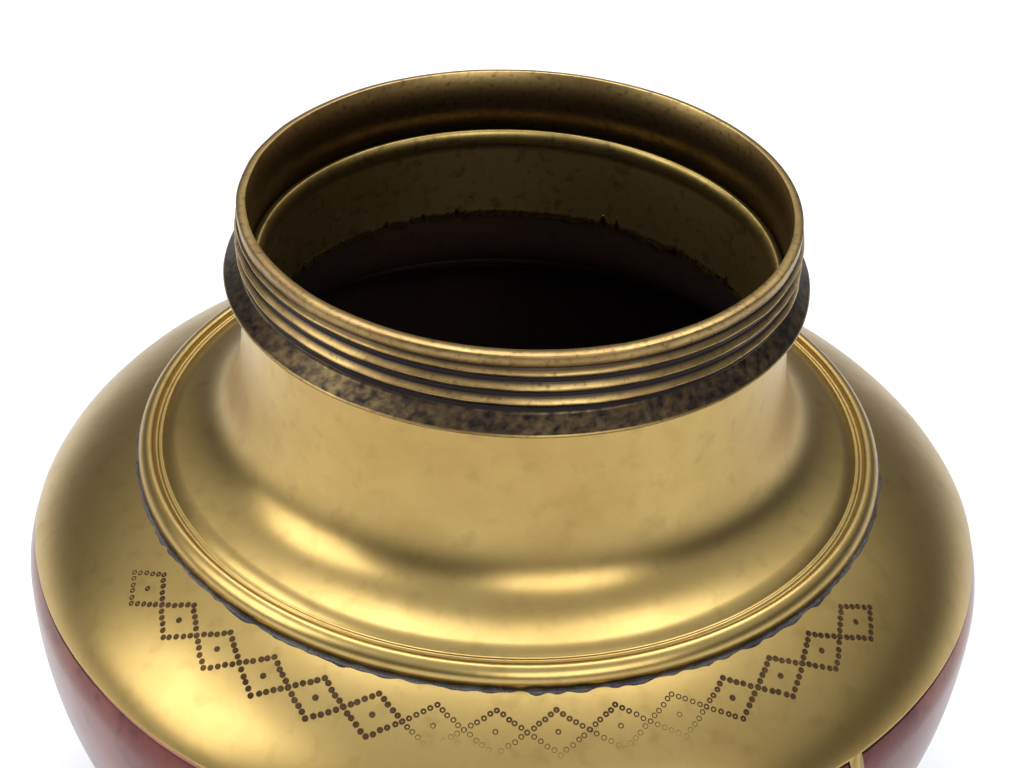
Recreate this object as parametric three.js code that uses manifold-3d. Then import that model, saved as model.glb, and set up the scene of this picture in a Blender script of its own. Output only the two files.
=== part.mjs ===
import * as THREE from 'three';
import { mergeVertices } from 'three/addons/utils/BufferGeometryUtils.js';
import Module from 'manifold-3d';

const wasm = await Module();
wasm.setup();

// Overall sizes of the pot, in millimetres
const TOTAL_HEIGHT = 178;
const BELLY_RADIUS = 99;
const BELLY_HEIGHT = 97;
const SHOULDER_RISE = 35.5;
const BOWL_DEPTH = 92;

// Sheet walls
const SHEET = 1.6;
const DOME_SHEET = 1.4;

// Clearance between pieces that a thin film of solder fills on the real pot
const FIT_GAP = 0.25;

// Round pieces share one count of flats, so that nested pieces stay parallel
const FLATS = 48;

// Seam between the brass shoulder and the copper bowl, with its cramp tabs
const SEAM_HEIGHT = 103.5;
const TAB_COUNT = 5;
const TAB_WIDTH = 4.5;
const TAB_LENGTH = 5;
const FIRST_TAB_ANGLE = THREE.MathUtils.degToRad(-119);

// Opening in the top of the shoulder, under the dome
const SHOULDER_OPENING_RADIUS = 65;

// Cast collar
const BORE_RADIUS = 52.5;
const RIM_OUTER_RADIUS = 54.3;
const RIM_BEVEL = 0.4;
const COLLAR_HEIGHT = 15.6;
const THREAD_ROOT_RADIUS = 53.9;
const RIM_BAND = 2.6;
const FLANGE_RADIUS = 57.2;
const FLANGE_EDGE = 0.5;
const FLANGE_RISE = 3.4;

// Hand-cut thread
const THREAD_PITCH = 3.1;
const THREAD_TURNS = 2.6;
const THREAD_DEPTH = 1;
const THREAD_ROOT_WIDTH = 2;
const THREAD_CREST_WIDTH = 0.7;
const THREAD_RUNOUT = 0.06;
const THREAD_BITE = 0.4;

// Sleeve inside the neck
const LINING_WALL = 1.2;
const LINING_LIP = 1;
const LINING_LIP_HEIGHT = 3.4;
const LINING_TOP_DEPTH = 13;
const LINING_LENGTH = 23;

// Dome: the neck flares down to a knee and runs out over the shoulder
const KNEE_RADIUS = 68;
const NECK_PULL = 30;
const KNEE_PULL = 11;
const DOME_EDGE_RADIUS = 75.8;
const BEAD_RADIUS = 1.7;

// Solder fillets and foot
const FILLET = 1.6;
const FOOT_OUTER_RADIUS = 54;
const FOOT_INNER_RADIUS = 50.5;
const FOOT_WAIST_RADIUS = 48.6;
const FOOT_TOP_WALL = 2;

const BRASS = { color: 0xb08a45, roughness: 0.35, metalness: 1 };
const CAST_BRASS = { color: 0x8c6a3c, roughness: 0.5, metalness: 1 };
const COPPER = { color: 0x8a4a38, roughness: 0.3, metalness: 1 };
const SOLDER = { color: 0x4a4a4d, roughness: 0.7, metalness: 0.8 };

function point(radius, height) {
  return new THREE.Vector2(radius, height);
}

// A ring or shell turned about the upright axis from a closed outline
function turned(outline) {
  if (THREE.ShapeUtils.isClockWise(outline)) {
    outline.reverse();
  }
  const closed = [...outline, outline[0].clone()];
  const geometry = new THREE.LatheGeometry(closed, FLATS);
  geometry.rotateX(Math.PI / 2);
  return geometry;
}

function solidOf(geometry) {
  const bare = geometry.clone();
  bare.deleteAttribute('normal');
  bare.deleteAttribute('uv');
  const merged = mergeVertices(bare, 1e-4);
  const mesh = new wasm.Mesh({
    numProp: 3,
    vertProperties: new Float32Array(merged.attributes.position.array),
    triVerts: new Uint32Array(merged.index.array),
  });
  return new wasm.Manifold(mesh);
}

function geometryOf(solid) {
  const mesh = solid.getMesh();
  const geometry = new THREE.BufferGeometry();
  geometry.setAttribute('position', new THREE.BufferAttribute(mesh.vertProperties, 3));
  geometry.setIndex(new THREE.BufferAttribute(mesh.triVerts, 1));
  return geometry;
}

function piece(name, geometry, finish) {
  const mesh = new THREE.Mesh(geometry, new THREE.MeshStandardMaterial(finish));
  mesh.name = name;
  return mesh;
}

// Height of the outside of the shoulder, above the widest line
function shoulderHeight(radius) {
  return BELLY_HEIGHT + SHOULDER_RISE * Math.sqrt(1 - (radius / BELLY_RADIUS) ** 2);
}

// Height of the outside of the bowl, below the widest line
function bowlHeight(radius) {
  return BELLY_HEIGHT - BOWL_DEPTH * Math.sqrt(1 - (radius / BELLY_RADIUS) ** 2);
}

function ellipseArc(radius, rise, from, to, steps) {
  const points = [];
  for (let i = 0; i <= steps; i += 1) {
    const angle = from + ((to - from) * i) / steps;
    points.push(point(radius * Math.cos(angle), BELLY_HEIGHT + rise * Math.sin(angle)));
  }
  return points;
}

// One skin for shoulder and bowl, closed at the foot, open at the top
function hullWall() {
  const steps = 7;
  const bottom = Math.PI / 2;
  const innerRadius = BELLY_RADIUS - SHEET;
  const outerTop = Math.acos(SHOULDER_OPENING_RADIUS / BELLY_RADIUS);
  const innerTop = Math.acos(SHOULDER_OPENING_RADIUS / innerRadius);
  const outline = [
    ...ellipseArc(BELLY_RADIUS, BOWL_DEPTH, -bottom, 0, steps),
    ...ellipseArc(BELLY_RADIUS, SHOULDER_RISE, 0, outerTop, steps).slice(1),
    ...ellipseArc(innerRadius, SHOULDER_RISE - SHEET, innerTop, 0, steps),
    ...ellipseArc(innerRadius, BOWL_DEPTH - SHEET, 0, -bottom, steps).slice(1),
  ];
  outline[0].x = 0;
  outline.at(-1).x = 0;
  const geometry = new THREE.LatheGeometry(outline, FLATS);
  geometry.rotateX(Math.PI / 2);
  return solidOf(geometry);
}

function block(width, depth, height, x, y, z) {
  const geometry = new THREE.BoxGeometry(width, depth, height);
  geometry.translate(x, y, z);
  return geometry;
}

// Upright blocks at the seam, one for each cramp tab, grown by a margin
function tabBlocks(margin) {
  const reach = 12;
  const blocks = [];
  for (let i = 0; i < TAB_COUNT; i += 1) {
    const low = SEAM_HEIGHT - TAB_LENGTH - margin;
    const high = SEAM_HEIGHT + TAB_LENGTH;
    const geometry = block(reach, TAB_WIDTH + 2 * margin, high - low, BELLY_RADIUS, 0, (low + high) / 2);
    geometry.rotateZ(FIRST_TAB_ANGLE + (i * 2 * Math.PI) / TAB_COUNT);
    blocks.push(solidOf(geometry));
  }
  return blocks.reduce((all, next) => all.add(next));
}

function halfSpaceAbove(height) {
  const size = 4 * BELLY_RADIUS;
  return solidOf(block(size, size, size, 0, 0, height + size / 2));
}

function shoulderShell(wall) {
  const region = halfSpaceAbove(SEAM_HEIGHT).add(tabBlocks(0));
  return geometryOf(wall.intersect(region));
}

function lowerBowl(wall) {
  const region = halfSpaceAbove(SEAM_HEIGHT - FIT_GAP).add(tabBlocks(FIT_GAP));
  return geometryOf(wall.subtract(region));
}

// Neck and dome: outer line, then the same line one sheet further in
function neckDome() {
  const outerNeck = BORE_RADIUS + DOME_SHEET;
  const top = TOTAL_HEIGHT - COLLAR_HEIGHT - FIT_GAP;
  const lift = FIT_GAP + DOME_SHEET / 0.85;
  const slope = (shoulderHeight(KNEE_RADIUS + 0.5) - shoulderHeight(KNEE_RADIUS - 0.5));
  const knee = point(KNEE_RADIUS, shoulderHeight(KNEE_RADIUS) + lift);
  const flare = new THREE.CubicBezierCurve(
    point(outerNeck, top),
    point(outerNeck, top - NECK_PULL),
    point(KNEE_RADIUS - KNEE_PULL, knee.y - slope * KNEE_PULL),
    knee,
  );
  const outer = [];
  const inner = [];
  const steps = 9;
  for (let i = 0; i <= steps; i += 1) {
    const at = flare.getPoint(i / steps);
    const tangent = flare.getTangent(i / steps);
    outer.push(at);
    inner.push(point(at.x + tangent.y * DOME_SHEET, at.y - tangent.x * DOME_SHEET));
  }
  const beadCentre = DOME_EDGE_RADIUS - BEAD_RADIUS;
  for (const angle of [180, 135, 90, 45, 0]) {
    const turn = THREE.MathUtils.degToRad(angle);
    const radius = beadCentre + BEAD_RADIUS * Math.cos(turn);
    outer.push(point(radius, shoulderHeight(radius) + lift + BEAD_RADIUS * Math.sin(turn)));
  }
  const under = [DOME_EDGE_RADIUS, beadCentre].map((r) => point(r, shoulderHeight(r) + FIT_GAP * 1.4));
  return turned([...outer, ...under, ...inner.reverse()]);
}

function collarBody() {
  const top = TOTAL_HEIGHT;
  const low = top - COLLAR_HEIGHT;
  return turned([
    point(BORE_RADIUS, low),
    point(FLANGE_RADIUS, low),
    point(FLANGE_RADIUS, low + FLANGE_EDGE),
    point(THREAD_ROOT_RADIUS, low + FLANGE_RISE),
    point(THREAD_ROOT_RADIUS, top - RIM_BAND - RIM_BEVEL),
    point(RIM_OUTER_RADIUS, top - RIM_BAND),
    point(RIM_OUTER_RADIUS, top - RIM_BEVEL),
    point(BORE_RADIUS, top),
  ]);
}

// A straight ridge, wrapped round the collar so that it climbs clockwise
function threadRidge() {
  const section = new THREE.Shape([
    point(-THREAD_BITE, -THREAD_ROOT_WIDTH / 2),
    point(THREAD_DEPTH, -THREAD_CREST_WIDTH / 2),
    point(THREAD_DEPTH, THREAD_CREST_WIDTH / 2),
    point(-THREAD_BITE, THREAD_ROOT_WIDTH / 2),
  ]);
  const steps = Math.round(FLATS * THREAD_TURNS);
  const geometry = new THREE.ExtrudeGeometry(section, { depth: 1, steps, bevelEnabled: false });
  const start = TOTAL_HEIGHT - COLLAR_HEIGHT + FLANGE_RISE + THREAD_ROOT_WIDTH / 2;
  const at = geometry.attributes.position;
  for (let i = 0; i < at.count; i += 1) {
    const along = at.getZ(i);
    const fade = Math.min(1, Math.min(along, 1 - along) / THREAD_RUNOUT);
    const out = at.getX(i) > 0 ? at.getX(i) * fade : at.getX(i);
    const angle = -along * THREAD_TURNS * 2 * Math.PI;
    const radius = THREAD_ROOT_RADIUS + out;
    const height = start + at.getY(i) + along * THREAD_TURNS * THREAD_PITCH;
    at.setXYZ(i, radius * Math.cos(angle), radius * Math.sin(angle), height);
  }
  return geometry;
}

function threadedCollar() {
  return geometryOf(solidOf(collarBody()).add(solidOf(threadRidge())));
}

// Sleeve in the neck, hung by a rolled lip
function neckLining() {
  const outer = BORE_RADIUS - FIT_GAP;
  const inner = outer - LINING_WALL;
  const top = TOTAL_HEIGHT - LINING_TOP_DEPTH;
  const lip = inner - LINING_LIP;
  const shelf = top - LINING_LIP_HEIGHT;
  return turned([
    point(outer, top - LINING_LENGTH),
    point(outer, top),
    point(inner, top),
    point(lip, top - LINING_LIP_HEIGHT / 4),
    point(lip, shelf + LINING_LIP_HEIGHT / 4),
    point(inner, shelf),
    point(inner, top - LINING_LENGTH),
  ]);
}

// Solder in the corner under the flange
function collarSolder() {
  const wall = BORE_RADIUS + DOME_SHEET + FIT_GAP;
  const under = TOTAL_HEIGHT - COLLAR_HEIGHT - FIT_GAP;
  return turned([point(wall, under - FILLET), point(wall + FILLET, under), point(wall, under)]);
}

// Solder round the edge of the dome
function domeSolder() {
  const near = DOME_EDGE_RADIUS + FIT_GAP;
  const far = near + FILLET;
  const film = 1.4 * FIT_GAP;
  return turned([
    point(near, shoulderHeight(near) + film),
    point(far, shoulderHeight(far) + film),
    point(near, shoulderHeight(near) + film + FILLET * 0.9),
  ]);
}

function footRing() {
  const seat = FOOT_WAIST_RADIUS;
  const top = bowlHeight(seat) - FIT_GAP;
  const innerSeat = seat - FOOT_TOP_WALL;
  return turned([
    point(FOOT_INNER_RADIUS, 0),
    point(FOOT_OUTER_RADIUS, 0),
    point(FOOT_OUTER_RADIUS, 2.4),
    point(FOOT_OUTER_RADIUS - 2.2, 4.2),
    point(seat + 0.6, top * 0.6),
    point(seat, top),
    point(innerSeat, bowlHeight(innerSeat) - FIT_GAP),
    point(innerSeat, top * 0.6),
    point(FOOT_INNER_RADIUS - 1.2, 4.2),
  ]);
}

// Solder between foot and bowl
function footSolder() {
  const near = FOOT_WAIST_RADIUS + 2 * FIT_GAP;
  const far = near + FILLET;
  const seat = (radius) => bowlHeight(radius) - 2 * FIT_GAP;
  return turned([point(near, seat(near) - FILLET * 0.9), point(far, seat(far)), point(near, seat(near))]);
}

function urn() {
  const wall = hullWall();
  const group = new THREE.Group();
  group.add(
    piece('threaded_collar', threadedCollar(), CAST_BRASS),
    piece('neck_lining', neckLining(), BRASS),
    piece('neck_dome', neckDome(), BRASS),
    piece('shoulder_shell', shoulderShell(wall), BRASS),
    piece('lower_bowl', lowerBowl(wall), COPPER),
    piece('foot_ring', footRing(), BRASS),
    piece('collar_solder', collarSolder(), SOLDER),
    piece('dome_solder', domeSolder(), SOLDER),
    piece('foot_solder', footSolder(), SOLDER),
  );
  return group;
}

export default urn();
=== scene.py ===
# %% [markdown]
# # A brass and copper water pot
# This pot is made by hand. A copper bowl, a brass shoulder and a flared brass
# neck are raised from sheet, and the threaded collar is cast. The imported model
# gives those pieces at their real size. Here each one gets its finished surface.
# Everything is in metres, with the pot standing on z = 0.

# %% Load the frame
import bpy
import math
import random
from mathutils import Matrix, Vector, noise


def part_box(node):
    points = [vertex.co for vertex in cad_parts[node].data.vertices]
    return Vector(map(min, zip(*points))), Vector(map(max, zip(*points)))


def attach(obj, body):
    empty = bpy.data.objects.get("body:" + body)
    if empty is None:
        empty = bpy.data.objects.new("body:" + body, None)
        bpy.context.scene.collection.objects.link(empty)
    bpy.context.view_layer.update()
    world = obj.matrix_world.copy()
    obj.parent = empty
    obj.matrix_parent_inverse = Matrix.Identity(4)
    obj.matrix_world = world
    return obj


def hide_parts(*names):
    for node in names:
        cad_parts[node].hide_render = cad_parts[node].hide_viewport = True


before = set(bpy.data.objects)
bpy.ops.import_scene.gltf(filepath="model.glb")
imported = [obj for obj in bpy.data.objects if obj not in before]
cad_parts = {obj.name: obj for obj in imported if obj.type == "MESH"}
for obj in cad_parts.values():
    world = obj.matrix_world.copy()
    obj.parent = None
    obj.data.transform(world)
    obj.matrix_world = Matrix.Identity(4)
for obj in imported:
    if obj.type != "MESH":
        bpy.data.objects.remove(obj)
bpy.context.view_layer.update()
MM = 0.001
TURN = 2 * math.pi
random.seed(7)
print("nodes", sorted(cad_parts))

# %% [markdown]
# ## Sizes from the frame
# The finished surfaces must sit where the solids are. Sizes could be typed again,
# but a size read from a solid can't drift away from it, so the outer sizes come
# from the nodes' boxes. Only what no box shows is given as a number: the body's
# curves, the bore and the sheet here, and the rest beside its own piece.

# %% Sizes read from the solids
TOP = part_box("threaded_collar")[1].z
FLANGE_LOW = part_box("threaded_collar")[0].z
FLANGE_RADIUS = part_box("threaded_collar")[1].x
BELLY_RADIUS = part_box("lower_bowl")[1].x
DOME_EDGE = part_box("neck_dome")[1].x
FOOT_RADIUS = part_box("foot_ring")[1].x
FOOT_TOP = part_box("foot_ring")[1].z
FOOT_SOLDER_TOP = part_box("foot_solder")[1].z
LINING_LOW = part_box("neck_lining")[0].z
LINING_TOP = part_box("neck_lining")[1].z
print("rim at", round(TOP, 4), "belly radius", round(BELLY_RADIUS, 4))

# %% Curves of the body
BELLY_HEIGHT = 97 * MM
SHOULDER_RISE = 35.5 * MM
BOWL_DEPTH = 92 * MM
SEAM_HEIGHT = 103.5 * MM
BORE = 52.5 * MM
SHEET = 1.6 * MM


def shoulder_height(radius):
    """Height of the shoulder at a radius: it is a quarter of an ellipse."""
    return BELLY_HEIGHT + SHOULDER_RISE * math.sqrt(1 - (radius / BELLY_RADIUS) ** 2)


print("the shoulder passes under the dome's edge at", round(shoulder_height(DOME_EDGE), 4))

# %% [markdown]
# ## The camera
# The photograph looks down into the mouth from above the rim. The camera was
# found by fitting the circles of rim, flange, lines and seam. With its long lens
# the near half of a circle looks hardly larger than the far half. A Track To
# constraint would aim the camera but also level it, and this one leans by under
# three degrees, as a hand-held one does. So its three axes are built one by one.

# %% Camera
CAMERA_BACK = 367.2 * MM
CAMERA_ABOVE_RIM = 211.8 * MM
CAMERA_PITCH = math.radians(34.86)
CAMERA_ROLL = math.radians(2.67)
FOCAL_PIXELS = 2200
FRAME_WIDTH_PIXELS = 1024
SENSOR_WIDTH = 36

camera_data = bpy.data.cameras.new("camera")
camera_data.sensor_width = SENSOR_WIDTH
camera_data.lens = FOCAL_PIXELS / FRAME_WIDTH_PIXELS * SENSOR_WIDTH
camera = bpy.data.objects.new("camera", camera_data)
bpy.context.scene.collection.objects.link(camera)
forward = Vector((0, math.cos(CAMERA_PITCH), -math.sin(CAMERA_PITCH)))
level = Vector((1, 0, 0))
upright = level.cross(forward)
right = level * math.cos(CAMERA_ROLL) + upright * math.sin(CAMERA_ROLL)
up = upright * math.cos(CAMERA_ROLL) - level * math.sin(CAMERA_ROLL)
turn = Matrix((right, up, -forward)).transposed().to_4x4()
camera.matrix_world = Matrix.Translation((0, -CAMERA_BACK, TOP + CAMERA_ABOVE_RIM)) @ turn
bpy.context.scene.camera = camera
print("lens", round(camera_data.lens, 1), "mm")

# %% [markdown]
# ## Turning a sheet
# Nearly every piece of a pot is round about one axis. Blender's Screw modifier
# could spin a profile, but it can't dent it or thread only a part of it. So the
# surface is a grid of rings and spokes, and each point passes through a small
# function of its height and angle. A Solidify modifier then gives a sheet its
# wall, with a second material for the inside.

# %% A grid of rings and spokes
SPOKES = 360
FINE_SPOKES = 720


def grid_points(outline, shape, spokes):
    points = []
    for outline_radius, outline_height in outline:
        for spoke in range(spokes):
            angle = TURN * spoke / spokes
            radius, height = shape(outline_radius, outline_height, angle)
            points.append((radius * math.cos(angle), radius * math.sin(angle), height))
    return points


def grid_faces(rows, spokes, keep, loop):
    faces = []
    for row in range(rows if loop else rows - 1):
        low = row * spokes
        high = (row + 1) % rows * spokes
        for spoke in range(spokes):
            beside = (spoke + 1) % spokes
            if keep(row, TURN * (spoke + 0.5) / spokes):
                faces.append((low + spoke, low + beside, high + beside, high + spoke))
    return faces


print("spokes", SPOKES, "and", FINE_SPOKES)

# %% Turned pieces
def smooth_object(name, points, faces):
    mesh = bpy.data.meshes.new(name)
    mesh.from_pydata(points, [], faces)
    mesh.validate()
    for face in mesh.polygons:
        face.use_smooth = True
    piece = bpy.data.objects.new(name, mesh)
    bpy.context.scene.collection.objects.link(piece)
    return piece


def as_drawn(radius, height, angle):
    return radius, height


def every_face(row, angle):
    return True


def turned_ring(name, outline, shape=as_drawn, spokes=SPOKES):
    """A closed outline of (radius, height) points, turned once round the axis."""
    points = grid_points(outline, shape, spokes)
    return smooth_object(name, points, grid_faces(len(outline), spokes, every_face, True))


def turned_sheet(name, outline, wall, shape=as_drawn, keep=every_face):
    """An open line of (radius, height) points from the bottom up, given a wall."""
    points = grid_points(outline, shape, SPOKES)
    piece = smooth_object(name, points, grid_faces(len(outline), SPOKES, keep, False))
    solid = piece.modifiers.new("wall", "SOLIDIFY")
    solid.thickness = wall
    solid.offset = -1
    solid.material_offset = 1
    solid.material_offset_rim = 1
    return piece


print("rings and sheets can be turned")

# %% [markdown]
# ## Arcs and unevenness
# Bowl and shoulder are arcs of ellipses, and a hammer has left slow bumps on them.
# A Displace modifier could bump them too, but here one noise helper serves the
# hammer, the casting, the thread and the solder. It is read on a circle, so the
# bumps join up after a full turn, and they are the same on every run.

# %% Arcs and hammer marks
HAMMER_DEPTH = 0.25 * MM
HAMMER_FINENESS = 3
SLOW_CLIMB = 40


def arc(radius, rise, start, end, steps):
    points = []
    for i in range(steps + 1):
        angle = start + (end - start) * i / steps
        points.append((radius * math.cos(angle), BELLY_HEIGHT + rise * math.sin(angle)))
    return points


def noise_round(angle, fineness, climb):
    return noise.noise(Vector((math.cos(angle) * fineness, math.sin(angle) * fineness, climb)))


def hammered(radius, height, angle):
    bump = HAMMER_DEPTH * noise_round(angle, HAMMER_FINENESS, height * SLOW_CLIMB)
    return radius + bump, height


print("hammer marks stay under", HAMMER_DEPTH)

# %% [markdown]
# ## Metal finishes
# Old brass and copper are never one colour. A single colour with a rough surface
# would look like plastic foil, so each finish mixes clean metal with a stained
# tone by broad noise, and adds dark specks by fine noise. Object coordinates are
# used, because they need no unwrapping and keep the pattern at its real size.

# %% Noise and colour helpers
def noise_texture(nodes, scale, detail):
    texture = nodes.new("ShaderNodeTexNoise")
    texture.inputs["Scale"].default_value = scale
    texture.inputs["Detail"].default_value = detail
    return texture


def two_tone_ramp(nodes, low, low_colour, high, high_colour):
    ramp = nodes.new("ShaderNodeValToRGB")
    ramp.color_ramp.elements[0].position = low
    ramp.color_ramp.elements[0].color = (*low_colour, 1)
    ramp.color_ramp.elements[1].position = high
    ramp.color_ramp.elements[1].color = (*high_colour, 1)
    return ramp


def colour_mix(nodes):
    mix = nodes.new("ShaderNodeMix")
    mix.data_type = "RGBA"
    return mix


print("noise, ramps and mixes are ready")

# %% Stains and specks
STAIN_FROM = 0.36
STAIN_TO = 0.62
SPECK_FROM = 0.30
SPECK_TO = 0.46


def stained_colour(nodes, links, stains, specks, clean, stained, speck, speck_amount):
    """Clean metal and stains by the broad noise, with specks by the fine noise."""
    tones = two_tone_ramp(nodes, STAIN_FROM, stained, STAIN_TO, clean)
    shares = two_tone_ramp(nodes, SPECK_FROM, (speck_amount,) * 3, SPECK_TO, (0, 0, 0))
    speckled = colour_mix(nodes)
    speckled.inputs["B"].default_value = (*speck, 1)
    links.new(stains.outputs["Fac"], tones.inputs["Fac"])
    links.new(specks.outputs["Fac"], shares.inputs["Fac"])
    links.new(tones.outputs["Color"], speckled.inputs["A"])
    links.new(shares.outputs["Color"], speckled.inputs["Factor"])
    return speckled.outputs["Result"]


print("specks show where the fine noise is under", SPECK_TO)

# %% [markdown]
# ## Painted shade in the grooves
# A thread's crests are rubbed bright, and its grooves are painted near black as
# shade. Blender can guess edges by pointiness, but that changes with how finely
# a mesh is divided. So a piece with grooves carries an attribute of wear and
# painted shade, 1 on rubbed metal and 0 in the painted shade of the grooves, and the finish mixes by it.

# %% Painted shade and grime
# Mixes in the near-black colour by the attribute: painted shade in the thread's grooves, grime on the
# cone.
def with_grime_and_shade(nodes, links, colour, shade_and_grime):
    wear_and_shade = nodes.new("ShaderNodeAttribute")
    wear_and_shade.attribute_name = "wear_and_shade"
    wear_and_shade_mix = colour_mix(nodes)
    wear_and_shade_mix.inputs["A"].default_value = (*shade_and_grime, 1)
    links.new(wear_and_shade.outputs["Fac"], wear_and_shade_mix.inputs["Factor"])
    links.new(colour, wear_and_shade_mix.inputs["B"])
    return wear_and_shade_mix.outputs["Result"]


print("grime mixes by the attribute wear")

# %% [markdown]
# ## Gloss and grain
# Tarnish is duller than rubbed metal, so the roughness follows the stains instead
# of being one number. Fine noise, used as bump, gives the marks of rubbing. Real
# geometry could carry them, but it would need a huge number of tiny faces.

# %% Gloss and grain
TARNISH_DULLER = 0.16
RUBBED_GLOSSIER = 0.06
GRAIN_STRENGTH = 0.35


def stained_roughness(nodes, links, stains, roughness):
    gloss = nodes.new("ShaderNodeMapRange")
    gloss.inputs["To Min"].default_value = roughness + TARNISH_DULLER
    gloss.inputs["To Max"].default_value = roughness - RUBBED_GLOSSIER
    links.new(stains.outputs["Fac"], gloss.inputs["Value"])
    return gloss.outputs["Result"]


def grain_normal(nodes, links, grain, depth):
    bump = nodes.new("ShaderNodeBump")
    bump.inputs["Strength"].default_value = GRAIN_STRENGTH
    bump.inputs["Distance"].default_value = depth
    links.new(grain.outputs["Fac"], bump.inputs["Height"])
    return bump.outputs["Normal"]


print("roughness spans", TARNISH_DULLER + RUBBED_GLOSSIER)

# %% A metal finish
STAIN_DETAIL = 9
STAIN_ROUGHNESS = 0.65
SPECK_FINENESS = 14
SPECK_DETAIL = 6
GRAIN_SCALE = 900
GRAIN_DETAIL = 4


def metal(name, clean, stained, speck, roughness, stain_scale,
          grain_depth=0.02 * MM, speck_amount=0.5, metallic=1.0, shade_and_grime=None):
    material = bpy.data.materials.new(name)
    material.use_nodes = True
    nodes, links = material.node_tree.nodes, material.node_tree.links
    stains = noise_texture(nodes, stain_scale, STAIN_DETAIL)
    stains.inputs["Roughness"].default_value = STAIN_ROUGHNESS
    specks = noise_texture(nodes, stain_scale * SPECK_FINENESS, SPECK_DETAIL)
    grain = noise_texture(nodes, GRAIN_SCALE, GRAIN_DETAIL)
    where = nodes.new("ShaderNodeTexCoord")
    for texture in (stains, specks, grain):
        links.new(where.outputs["Object"], texture.inputs["Vector"])
    colour = stained_colour(nodes, links, stains, specks, clean, stained, speck, speck_amount)
    if shade_and_grime:
        colour = with_grime_and_shade(nodes, links, colour, shade_and_grime)
    shader = nodes["Principled BSDF"]
    shader.inputs["Metallic"].default_value = metallic
    links.new(colour, shader.inputs["Base Color"])
    links.new(stained_roughness(nodes, links, stains, roughness), shader.inputs["Roughness"])
    links.new(grain_normal(nodes, links, grain, grain_depth), shader.inputs["Normal"])
    return material


print("a finish has stains, specks and grain")

# %% [markdown]
# ## The brasses
# Shoulder and dome are polished by hand. The collar is rougher and more stained,
# because it was cast, and the punched dots have gone dark. One brass with a few
# sliders could serve them all, but separate finishes keep separate names, so each
# can be changed alone.

# %% Brass finishes
BRASS = metal(
    "brass", clean=(0.52, 0.37, 0.13), stained=(0.42, 0.28, 0.09), speck=(0.30, 0.19, 0.06),
    roughness=0.27, stain_scale=17, speck_amount=0.3,
)
# Its near-black colour is painted shade in the thread's grooves and grime on the rough cone.
CAST_BRASS = metal(
    "cast_brass", clean=(0.50, 0.35, 0.13), stained=(0.33, 0.21, 0.08), speck=(0.10, 0.07, 0.04),
    roughness=0.32, stain_scale=60, grain_depth=0.08 * MM, speck_amount=0.6, shade_and_grime=(0.022, 0.018, 0.020),
)
LINING_BRASS = metal(
    "lining_brass", clean=(0.54, 0.40, 0.14), stained=(0.32, 0.22, 0.07), speck=(0.10, 0.08, 0.03),
    roughness=0.36, stain_scale=30,
)
FOOT_BRASS = metal(
    "foot_brass", clean=(0.55, 0.40, 0.19), stained=(0.36, 0.22, 0.10), speck=(0.10, 0.06, 0.03),
    roughness=0.3, stain_scale=26,
)
PUNCHED_BRASS = metal(
    "punched_brass", clean=(0.11, 0.065, 0.03), stained=(0.06, 0.035, 0.02), speck=(0.03, 0.015, 0.01),
    roughness=0.5, stain_scale=90,
)
print("brass finishes", len([finish for finish in bpy.data.materials if "brass" in finish.name]))

# %% [markdown]
# ## Copper, tarnish and solder
# The copper is nearly plum, as old copper is, and smoother than the brass. The
# inside was never polished: it is almost black and hardly shines, so it is only
# partly metallic. Solder is grey and lumpy.

# %% Copper, tarnish and solder finishes
COPPER = metal(
    "copper", clean=(0.22, 0.085, 0.06), stained=(0.12, 0.045, 0.045), speck=(0.05, 0.02, 0.03),
    roughness=0.2, stain_scale=18,
)
TARNISH = metal(
    "tarnished_inside", clean=(0.030, 0.013, 0.007), stained=(0.014, 0.007, 0.005),
    speck=(0.005, 0.003, 0.003), roughness=0.6, stain_scale=30, metallic=0.3,
)
SOLDER = metal(
    "solder", clean=(0.16, 0.15, 0.15), stained=(0.07, 0.065, 0.07), speck=(0.02, 0.02, 0.02),
    roughness=0.55, stain_scale=120, grain_depth=0.1 * MM, speck_amount=0.9, metallic=0.7,
)


def fit_to_pot(piece, material, slot, *nodes):
    """Give a piece its finish and its body, and hide the solids that it stands for."""
    piece.data.materials.append(material)
    if piece.modifiers:
        piece.data.materials.append(TARNISH)
    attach(piece, "root")
    if nodes:
        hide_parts(*nodes)
    print(piece.name, len(piece.data.polygons), "faces")


# %% [markdown]
# ## The copper bowl
# The bowl was raised from one disc, so it is one surface from the foot to the
# seam, which lies a little above the widest line. A sphere could be squashed to
# fit, but the pot is deeper below its widest line than above it. So there are two
# arcs, which meet at that line with the same upright tangent and leave no crease.

# %% Copper bowl
BOWL_STEPS = 60
RIM_STEPS = 8
CENTRE_ANGLE = 0.002
seam_angle = math.asin((SEAM_HEIGHT - BELLY_HEIGHT) / SHOULDER_RISE)
bowl_line = arc(BELLY_RADIUS, BOWL_DEPTH, -math.pi / 2 + CENTRE_ANGLE, 0, BOWL_STEPS)
bowl_line += arc(BELLY_RADIUS, SHOULDER_RISE, 0, seam_angle, RIM_STEPS)[1:]
bowl = turned_sheet("copper_bowl", bowl_line, SHEET, hammered)
fit_to_pot(bowl, COPPER, "copper", "lower_bowl")

# %% [markdown]
# ## The brass shoulder
# The shoulder laps over the bowl's edge by a hair and grips it with small tabs,
# as coppersmiths join two sheets. A boolean could cut the edge between the tabs,
# but the grid can simply leave those faces out, which keeps its rows even.

# %% Tabs of the shoulder
TAB_COUNT = 5
TAB_LENGTH = 5 * MM
TAB_WIDTH = 4.5 * MM
FIRST_TAB = math.radians(-119)
TAB_ROWS = 4


def on_tab(angle):
    step = TURN / TAB_COUNT
    off = (angle - FIRST_TAB + step / 2) % step - step / 2
    return abs(off) * BELLY_RADIUS < TAB_WIDTH / 2


def shoulder_face(row, angle):
    return row >= TAB_ROWS or on_tab(angle)


print(TAB_COUNT, "tabs,", TAB_WIDTH, "wide")

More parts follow.
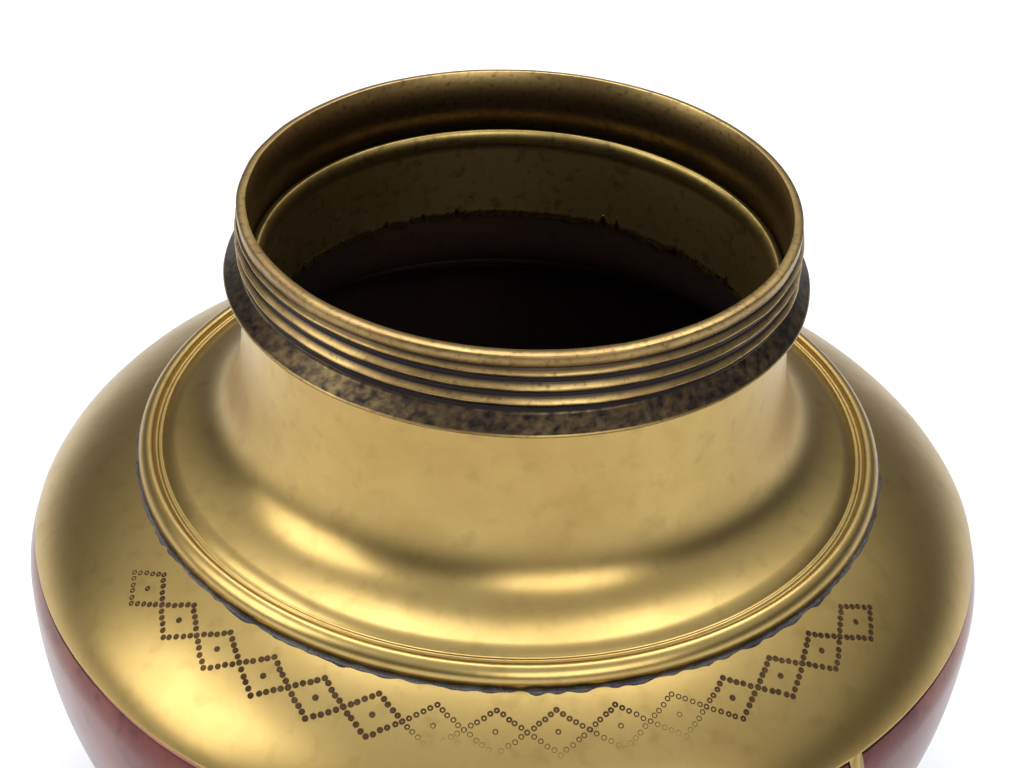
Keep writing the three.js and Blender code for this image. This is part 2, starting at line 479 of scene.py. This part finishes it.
# %% Brass shoulder
SHOULDER_STEPS = 60
SHOULDER_OPENING = 66 * MM
LAP = 0.3 * MM
tab_angle = math.asin((SEAM_HEIGHT - TAB_LENGTH - BELLY_HEIGHT) / SHOULDER_RISE)
opening_angle = math.acos(SHOULDER_OPENING / BELLY_RADIUS)
lap_radius = BELLY_RADIUS + LAP
lap_rise = SHOULDER_RISE + LAP
shoulder_line = arc(lap_radius, lap_rise, tab_angle, seam_angle, TAB_ROWS)
shoulder_line += arc(lap_radius, lap_rise, seam_angle, opening_angle, SHOULDER_STEPS)[1:]
shoulder = turned_sheet("brass_shoulder", shoulder_line, SHEET, hammered, shoulder_face)
fit_to_pot(shoulder, BRASS, "brass", "shoulder_shell")

# %% [markdown]
# ## Neck and dome
# One sheet sweeps out of the collar and runs flat over the shoulder. Part of a
# circle could join the two, but it would fix how fast the sweep opens. A Bezier
# curve doesn't: its first handle points straight down, so the neck leaves the
# collar upright, and its last lies along the shoulder's slope.

# %% Sweep of the neck
DOME_WALL = 1.4 * MM
DOME_LIFT = 1.9 * MM
KNEE = 68 * MM
NECK_GAP = 0.25 * MM
NECK_PULL = 30 * MM
KNEE_PULL = 11 * MM
SLOPE_STEP = 0.1 * MM
SWEEP_STEPS = 60
neck_radius = BORE + DOME_WALL
neck_top = FLANGE_LOW - NECK_GAP
knee_height = shoulder_height(KNEE) + DOME_LIFT
knee_fall = shoulder_height(KNEE + SLOPE_STEP) - shoulder_height(KNEE - SLOPE_STEP)
knee_slope = knee_fall / (2 * SLOPE_STEP)
neck = Vector((neck_radius, neck_top))
neck_handle = Vector((neck_radius, neck_top - NECK_PULL))
knee_handle = Vector((KNEE - KNEE_PULL, knee_height - knee_slope * KNEE_PULL))
knee = Vector((KNEE, knee_height))


def on_sweep(share):
    rest = 1 - share
    return tuple(
        neck * rest**3
        + neck_handle * 3 * rest * rest * share
        + knee_handle * 3 * rest * share * share
        + knee * share**3
    )


dome_line = [on_sweep(i / SWEEP_STEPS) for i in range(SWEEP_STEPS + 1)]
print("the neck falls", round(neck_top - knee_height, 4), "to its knee")

# %% [markdown]
# ## Engraved lines and bead
# Two lines are cut with a graver near the dome's edge, and the edge itself is
# beaten into a half-round bead. A bump map could draw both, but it would leave
# the outline smooth. They are points of the outline instead, so they catch the
# light as real grooves do.

# %% Lines and bead
LINE_RADII = (71.0 * MM, 72.0 * MM)
GROOVE_DEPTH = 0.38 * MM
GROOVE_HALF = 0.22 * MM
BEAD = 1.7 * MM
BEAD_STEPS = 12
EDGE_CLEARANCE = 0.4 * MM


def on_dome(radius, lift):
    return radius, shoulder_height(radius) + DOME_LIFT + lift


for line in LINE_RADII:
    dome_line.append(on_dome(line - GROOVE_HALF, 0))
    dome_line.append(on_dome(line, -GROOVE_DEPTH))
    dome_line.append(on_dome(line + GROOVE_HALF, 0))
for i in range(BEAD_STEPS + 1):
    angle = math.pi * (1 - i / BEAD_STEPS)
    dome_line.append(on_dome(DOME_EDGE - BEAD + BEAD * math.cos(angle), BEAD * math.sin(angle)))
dome_line.append((DOME_EDGE, shoulder_height(DOME_EDGE) + EDGE_CLEARANCE))
dome_line.reverse()
dome = turned_sheet("neck_and_dome", dome_line, DOME_WALL)
fit_to_pot(dome, BRASS, "brass", "neck_dome")

# %% [markdown]
# ## The thread
# The collar was cast and its thread filed by hand. A helix could be swept round
# it and joined on, but a filed thread is part of the ring. So the ring's outer
# wall has many rows, and a ridge that repeats with height and winds with the
# angle pushes them out. It fades at both ends and is a little uneven.

# %% Thread
PITCH = 3.1 * MM
ROOT = 53.9 * MM
ROOT_MARGIN = 0.1 * MM
THREAD_TOP = TOP - 2.8 * MM
THREAD_LOW = FLANGE_LOW + 3.2 * MM
THREAD_FADE = 0.7 * MM
RIDGE_HEIGHT = 1.0 * MM
RIDGE_HALF = 0.36
RIDGE_ROUND = 0.8
RIDGE_UNEVEN = 0.25
RIDGE_FINENESS = 9
RIDGE_CLIMB = 400
CAST_DEPTH = 0.12 * MM
CAST_FINENESS = 6


def threaded(radius, height, angle):
    if radius < ROOT - ROOT_MARGIN or not THREAD_LOW < height < THREAD_TOP:
        return radius + CAST_DEPTH * noise_round(angle, CAST_FINENESS, height * SLOW_CLIMB), height
    phase = ((height - THREAD_LOW) / PITCH + angle / TURN) % 1
    ridge = max(0.0, 1 - abs(phase - 0.5) / RIDGE_HALF) ** RIDGE_ROUND
    fade = min(1, (height - THREAD_LOW) / THREAD_FADE, (THREAD_TOP - height) / THREAD_FADE)
    rough = 1 + RIDGE_UNEVEN * noise_round(angle, RIDGE_FINENESS, height * RIDGE_CLIMB)
    return radius + RIDGE_HEIGHT * ridge * fade * rough, height


print("the thread has", round((THREAD_TOP - THREAD_LOW) / PITCH, 1), "turns")

# %% [markdown]
# ## Flange and rim
# Below the thread a cone runs out to a thin sharp flange. Above it the rim is a
# narrow band with a bevelled top. Cylinders and cones could be joined for these,
# but one outline that goes once round the section needs no joins.

# %% Flange and cone
FLANGE_EDGE = 0.35 * MM
CONE_START = 0.55 * MM
CONE_STEPS = 12
CORNER = 0.3 * MM
cone_rise = THREAD_LOW - CORNER - FLANGE_LOW - CONE_START
collar_line = [
    (BORE, FLANGE_LOW),
    (FLANGE_RADIUS, FLANGE_LOW),
    (FLANGE_RADIUS, FLANGE_LOW + FLANGE_EDGE),
]
for i in range(CONE_STEPS + 1):
    share = i / CONE_STEPS
    cone_radius = (FLANGE_RADIUS - CORNER) * (1 - share) + (ROOT + CORNER) * share
    collar_line.append((cone_radius, FLANGE_LOW + CONE_START + cone_rise * share))
print("the cone rises", round(cone_rise, 4))

# %% Thread rows, rim and bore
RIM_OUTER = 54.3 * MM
THREAD_ROWS = 64
RIM_BEVEL = 0.45 * MM
RIM_SLOPE = 0.15 * MM
RIM_ROUND = 0.1 * MM
BORE_ROW = 6 * MM
for i in range(THREAD_ROWS + 1):
    collar_line.append((ROOT, THREAD_LOW + (THREAD_TOP - THREAD_LOW) * i / THREAD_ROWS))
collar_line += [
    (RIM_OUTER, THREAD_TOP + CORNER),
    (RIM_OUTER, TOP - RIM_BEVEL),
    (RIM_OUTER - RIM_SLOPE, TOP - RIM_BEVEL + RIM_ROUND),
    (BORE + RIM_ROUND, TOP),
    (BORE, TOP - RIM_ROUND),
    (BORE, TOP - BORE_ROW),
]
collar = turned_ring("threaded_collar_finish", collar_line, threaded, FINE_SPOKES)
print("the collar's outline has", len(collar_line), "points")

# %% [markdown]
# ## Where the collar is rubbed and shaded
# Handling rubs the rim, the crests and the flange's edge. The grooves are painted
# dark as shade, the bore is darker than the rim, and dirt stays on the rough cone.
# The wear and shade could be painted by hand, but then any change to the thread
# would spoil it. So each point's value follows from its place, and noise breaks up the cone into pits.

# %% Wear and painted shade on the collar
BORE_WEAR = 0.45
RIM_WEAR = 1.0
BAND_WEAR = 0.8
EDGE_WEAR = 0.9
CONE_WEAR = 0.16
CONE_PITTING = 0.22
COARSE_PITS = 700
FINE_PITS = 1900
FINE_SHARE = 0.6
NEAR_BORE = 0.2 * MM
NEAR_RIM = 0.2 * MM
EDGE_BAND = 0.45 * MM
CREST_RISE = 0.75 * MM
CREST_SHARPNESS = 1.3


def wear_and_shade_at(point):
    radius = math.hypot(point.x, point.y)
    if radius < BORE + NEAR_BORE:
        return BORE_WEAR if point.z < TOP - NEAR_RIM else RIM_WEAR
    if point.z > THREAD_TOP:
        return BAND_WEAR
    if point.z > THREAD_LOW:
        # Painted shade: darkest at the thread's root, bright towards the rubbed crests.
        return min(1.0, max(0.0, (radius - ROOT) / CREST_RISE) ** CREST_SHARPNESS)
    if point.z < FLANGE_LOW + EDGE_BAND:
        return EDGE_WEAR
    pitting = noise.noise(point * COARSE_PITS) + FINE_SHARE * noise.noise(point * FINE_PITS)
    return CONE_WEAR + CONE_PITTING * pitting


# The attribute holds the rubbed wear and the painted shade of the grooves.
wear_and_shade = collar.data.attributes.new("wear_and_shade", "FLOAT", "POINT")
for vertex in collar.data.vertices:
    wear_and_shade.data[vertex.index].value = wear_and_shade_at(vertex.co)
fit_to_pot(collar, CAST_BRASS, "cast_brass", "threaded_collar")

# %% [markdown]
# ## The torn edge of the lining
# A thin sleeve lines the neck. Its lower edge was torn rather than cut, so it is
# ragged. A boolean with a rough shape could tear it, but that leaves untidy
# faces. So the lowest rows are pushed up: broad noise gives the wandering tear,
# and fine noise, squared, gives a few sharp nicks.

# %% Torn edge
TORN_BAND = 4 * MM
TEAR = 1.3 * MM
TEAR_FINENESS = 14
TEAR_PLACE = 3
NICK = 8 * MM
NICK_FINENESS = 40
NICK_PLACE = 8


def torn(radius, height, angle):
    if height > LINING_LOW + TORN_BAND:
        return radius, height
    share = 1 - (height - LINING_LOW) / TORN_BAND
    tear = TEAR * (1 + noise_round(angle, TEAR_FINENESS, TEAR_PLACE))
    nick = NICK * max(0, noise_round(angle, NICK_FINENESS, NICK_PLACE)) ** 2
    return radius, height + share * (tear + nick)


print("the tear fades out over", TORN_BAND)

# %% [markdown]
# ## The lining's lip
# The sleeve's top is rolled over into a smooth lip that stands into the mouth. A
# Bevel modifier could round it, but a roll is rounder than a bevel, so half an
# oval is drawn in the outline.

# %% Neck lining
LINING_RADIUS = 52.2 * MM
LINING_WALL = 1.2 * MM
LINING_SHOULDER = 0.6 * MM
LIP_STAND = 0.9 * MM
LIP_HALF_HEIGHT = 1.7 * MM
LIP_STEPS = 12
FIRST_ROW = 5 * MM
ROW_STEP = 1.5 * MM
LINING_ROWS = 12
LAST_ROW = 2 * MM
lining_inner = LINING_RADIUS - LINING_WALL
lining_line = [(LINING_RADIUS, LINING_LOW), (LINING_RADIUS, LINING_TOP - LINING_SHOULDER)]
for i in range(LIP_STEPS + 1):
    angle = math.pi * i / LIP_STEPS
    lip_radius = lining_inner - LIP_STAND * math.sin(angle)
    lining_line.append((lip_radius, LINING_TOP - LIP_HALF_HEIGHT * (1 - math.cos(angle))))
for row in range(LINING_ROWS):
    lining_line.append((lining_inner, LINING_TOP - FIRST_ROW - row * ROW_STEP))
lining_line += [(lining_inner, LINING_LOW + LAST_ROW), (lining_inner, LINING_LOW)]
lining = turned_ring("neck_lining_finish", lining_line, torn, FINE_SPOKES)
fit_to_pot(lining, LINING_BRASS, "lining_brass", "neck_lining")

# %% [markdown]
# ## The foot
# The foot is a plain brass ring with a moulded edge. It keeps the round bowl
# from rolling. A bevelled cylinder could stand for it, but the moulding steps in
# more than once, so its section is drawn and turned like the rest.

# %% Foot ring
FOOT_SEAT = 48.6 * MM
FOOT_INNER = 50.5 * MM
FOOT_WALL = 2 * MM
SEAT_DROP_OUTSIDE = 0.8 * MM
SEAT_DROP_INSIDE = 1.6 * MM
FOOT_CORNER = 0.4 * MM
BAND_TOP = 2 * MM
STEP_IN = 0.6 * MM
STEP_TOP = 2.7 * MM
MOULD_IN = 2.2 * MM
MOULD_TOP = 4.2 * MM
MOULD_INNER = 49.3 * MM
WAIST_OUT = 0.6 * MM
WAIST_HEIGHT = 9.5 * MM
foot_line = [
    (FOOT_INNER, 0),
    (FOOT_RADIUS - FOOT_CORNER, 0),
    (FOOT_RADIUS, FOOT_CORNER),
    (FOOT_RADIUS, BAND_TOP),
    (FOOT_RADIUS - STEP_IN, STEP_TOP),
    (FOOT_RADIUS - MOULD_IN, MOULD_TOP),
    (FOOT_SEAT + WAIST_OUT, WAIST_HEIGHT),
    (FOOT_SEAT, FOOT_TOP - SEAT_DROP_OUTSIDE),
    (FOOT_SEAT - FOOT_WALL, FOOT_TOP - SEAT_DROP_INSIDE),
    (FOOT_SEAT - FOOT_WALL, WAIST_HEIGHT),
    (MOULD_INNER, MOULD_TOP),
]
foot = turned_ring("foot_ring_finish", foot_line)
fit_to_pot(foot, FOOT_BRASS, "foot_brass", "foot_ring")

# %% [markdown]
# ## Solder
# Solder fills the corners where pieces meet. It was run in by hand, so it is
# lumpy and has gone dark. A torus could lie in the corner, but a fillet is nearly
# a triangle: one side on each piece and one to the air. So each seam is a ring of
# three sides that noise makes uneven.

# %% Lumpy rings
LUMP_FINENESS = 30
LUMP_CLIMB = 900
LUMP_OUT = 0.35 * MM
LUMP_UP = 0.12 * MM


def lumpy(radius, height, angle):
    lump = noise_round(angle, LUMP_FINENESS, height * LUMP_CLIMB)
    return radius + LUMP_OUT * lump, height + LUMP_UP * lump


def solder_seam(name, node, near, corner, width, rise):
    """near is the inner radius and corner the height of the triangle's corner."""
    outline = [(near, corner), (near + width, corner), (near, corner + rise)]
    ring = turned_ring(name, outline, lumpy, FINE_SPOKES)
    fit_to_pot(ring, SOLDER, "solder", node)


print("lumps stay under", LUMP_OUT)

# %% Solder seams
SOLDER_BITE = 0.1 * MM
DOME_SOLDER_DROP = 0.4 * MM
COLLAR_SOLDER_DROP = 0.2 * MM
FOOT_SOLDER_DROP = 0.9 * MM
solder_seam(
    "dome_solder_finish", "dome_solder", near=DOME_EDGE - SOLDER_BITE,
    corner=shoulder_height(DOME_EDGE) - DOME_SOLDER_DROP, width=1.1 * MM, rise=1.2 * MM,
)
solder_seam(
    "collar_solder_finish", "collar_solder", near=neck_radius - SOLDER_BITE,
    corner=FLANGE_LOW - COLLAR_SOLDER_DROP, width=1.6 * MM, rise=-1.6 * MM,
)
solder_seam(
    "foot_solder_finish", "foot_solder", near=FOOT_SEAT - SOLDER_BITE,
    corner=FOOT_SOLDER_TOP - FOOT_SOLDER_DROP, width=1.7 * MM, rise=-1.4 * MM,
)

# %% [markdown]
# ## Where the punch was struck
# The shoulder is decorated with punched dots a little over a millimetre apart.
# Here they make a plain running row of lozenges, a pattern found on much
# metalwork. Each place could be typed in, but a formula keeps the row even and
# easy to change.

# %% Places of the dots
ORNAMENT_START = math.radians(-148)
ORNAMENT_END = math.radians(-32)
ORNAMENT_RADIUS = 83 * MM
LOZENGES = 15
LOZENGE_HALF_HEIGHT = 3.6 * MM
LOZENGE_CORNERS = [(1, 0), (0, 1), (-1, 0), (0, -1), (1, 0)]
DOTS_PER_SIDE = 5


def punched_places():
    """Radius and angle of each dot: the sides of a lozenge, then its middle."""
    places = []
    step = (ORNAMENT_END - ORNAMENT_START) / LOZENGES
    for number in range(LOZENGES):
        middle = ORNAMENT_START + (number + 0.5) * step
        for this, following in zip(LOZENGE_CORNERS, LOZENGE_CORNERS[1:]):
            for i in range(DOTS_PER_SIDE):
                share = i / DOTS_PER_SIDE
                across = this[0] * (1 - share) + following[0] * share
                outward = this[1] * (1 - share) + following[1] * share
                radius = ORNAMENT_RADIUS + outward * LOZENGE_HALF_HEIGHT
                places.append((radius, middle + across * step / 2))
        places.append((ORNAMENT_RADIUS, middle))
    return places


print(len(punched_places()), "dots")

# %% [markdown]
# ## One punched dot
# A round punch leaves a small dish with a raised burr. A dark spot in the colour
# could stand for it, but it would not glint. So each dot is four small rings of
# points, from the burr's foot over its top and down into the dish. Each is moved
# by up to a tenth of a millimetre at random, because a hand is never exact.

# %% Punched dot
DOT = 0.42 * MM
DOT_SIDES = 10
BURR_FOOT = (1.5, 0.015 * MM)
BURR_TOP = (1.15, 0.07 * MM)
DISH_EDGE = (0.85, 0.05 * MM)
DISH_MIDDLE = (0.0, 0.012 * MM)
DOT_RINGS = (BURR_FOOT, BURR_TOP, DISH_EDGE, DISH_MIDDLE)
HAND_ERROR = 0.1 * MM


def shoulder_point(radius, angle):
    return Vector((radius * math.cos(angle), radius * math.sin(angle), shoulder_height(radius) + LAP))


def dot_points(radius, angle):
    miss = Vector((random.uniform(-1, 1), random.uniform(-1, 1))) * HAND_ERROR
    centre = shoulder_point(radius + miss.x, angle + miss.y / radius)
    out = (shoulder_point(radius + MM, angle) - shoulder_point(radius - MM, angle)).normalized()
    along = Vector((-math.sin(angle), math.cos(angle), 0))
    normal = out.cross(along)
    points = []
    for size, lift in DOT_RINGS:
        for side in range(DOT_SIDES):
            bearing = TURN * side / DOT_SIDES
            arm = out * math.cos(bearing) + along * math.sin(bearing)
            points.append(centre + arm * DOT * size + normal * lift)
    return points


def dot_faces(first):
    faces = []
    for ring in range(len(DOT_RINGS) - 1):
        start = first + ring * DOT_SIDES
        for side in range(DOT_SIDES):
            here = start + side
            beside = start + (side + 1) % DOT_SIDES
            faces.append((here, beside, beside + DOT_SIDES, here + DOT_SIDES))
    return faces


print("a dot is", round(2 * DOT, 5), "across and has", len(dot_faces(0)), "faces")

# %% All the dots
dots_so_far, dot_face_list = [], []
for radius, angle in punched_places():
    dot_face_list += dot_faces(len(dots_so_far))
    dots_so_far += dot_points(radius, angle)
fit_to_pot(smooth_object("punched_dots", dots_so_far, dot_face_list), PUNCHED_BRASS, "brass")

# %% [markdown]
# ## The ground
# The pot stands on a wide white ground. A shadow catcher could hide the ground
# and keep only its shadow, but polished metal must also mirror something pale
# from below, so the ground is a real one.

# %% Ground
GROUND_REACH = 4
GROUND_CORNERS = ((-1, -1), (1, -1), (1, 1), (-1, 1))


def white_ground():
    material = bpy.data.materials.new("ground")
    material.use_nodes = True
    shader = material.node_tree.nodes["Principled BSDF"]
    shader.inputs["Base Color"].default_value = (0.92, 0.93, 0.95, 1)
    shader.inputs["Roughness"].default_value = 0.8
    shader.inputs["Specular IOR Level"].default_value = 0.1
    return material


ground_points = [(x * GROUND_REACH, y * GROUND_REACH, 0) for x, y in GROUND_CORNERS]
ground_mesh = bpy.data.meshes.new("ground")
ground_mesh.from_pydata(ground_points, [], [(0, 1, 2, 3)])
ground = bpy.data.objects.new("ground", ground_mesh)
bpy.context.scene.collection.objects.link(ground)
ground_mesh.materials.append(white_ground())
print("the ground is", 2 * GROUND_REACH, "m across")

# %% [markdown]
# ## Lamps
# Metal shows what it reflects. Spots or a sun would leave small hard glints on
# it, so the lamps are large and soft: one above and behind for the shoulder's
# broad light, one at the left and one in front.

# %% Lamps
LAMP_TARGET = Vector((0, 0, 0.1))


def lamp(name, stand, size, power):
    data = bpy.data.lights.new(name, "AREA")
    data.shape = "RECTANGLE"
    data.size, data.size_y = size
    data.energy = power
    light = bpy.data.objects.new(name, data)
    bpy.context.scene.collection.objects.link(light)
    light.location = stand
    light.rotation_euler = (LAMP_TARGET - Vector(stand)).to_track_quat("-Z", "Y").to_euler()
    print(name, power, "W")


lamp("overhead", stand=(0.0, 0.5, 1.4), size=(1.2, 0.9), power=16)
lamp("left", stand=(-1.1, -0.3, 0.8), size=(0.8, 0.8), power=7)
lamp("front", stand=(0.5, -1.2, 0.9), size=(1.0, 0.6), power=7)

# %% [markdown]
# ## The room
# In an evenly white room metal looks flat. A picture of a room could light it,
# but a few bands of tone can be named and changed: pale up to the horizon, dark
# a little above it, where walls would be, and pale overhead. The height of the
# direction picks the band.

# %% Room
SKY_STRENGTH = 0.7
SKY_BELOW = (0.85, 0.86, 0.88, 1)
SKY_ABOVE = (0.95, 0.96, 1.0, 1)
WALL_LOW = (0.12, (0.10, 0.10, 0.12, 1))
WALL_HIGH = (0.38, (0.13, 0.14, 0.17, 1))
CEILING = (0.62, (0.8, 0.82, 0.86, 1))
world = bpy.data.worlds.new("world")
bpy.context.scene.world = world
world.use_nodes = True
sky = world.node_tree
sky_light = sky.nodes["Background"]
direction = sky.nodes.new("ShaderNodeTexCoord")
split = sky.nodes.new("ShaderNodeSeparateXYZ")
bands = sky.nodes.new("ShaderNodeValToRGB")
bands.color_ramp.elements[0].position = 0.0
bands.color_ramp.elements[0].color = SKY_BELOW
bands.color_ramp.elements[1].position = 1.0
bands.color_ramp.elements[1].color = SKY_ABOVE
for height, tint in (WALL_LOW, WALL_HIGH, CEILING):
    bands.color_ramp.elements.new(height).color = tint
sky.links.new(direction.outputs["Generated"], split.inputs["Vector"])
sky.links.new(split.outputs["Z"], bands.inputs["Fac"])
sky.links.new(bands.outputs["Color"], sky_light.inputs["Color"])
sky_light.inputs["Strength"].default_value = SKY_STRENGTH
bpy.context.scene.view_settings.view_transform = "Standard"
print("the room has", len(bands.color_ramp.elements), "tones")
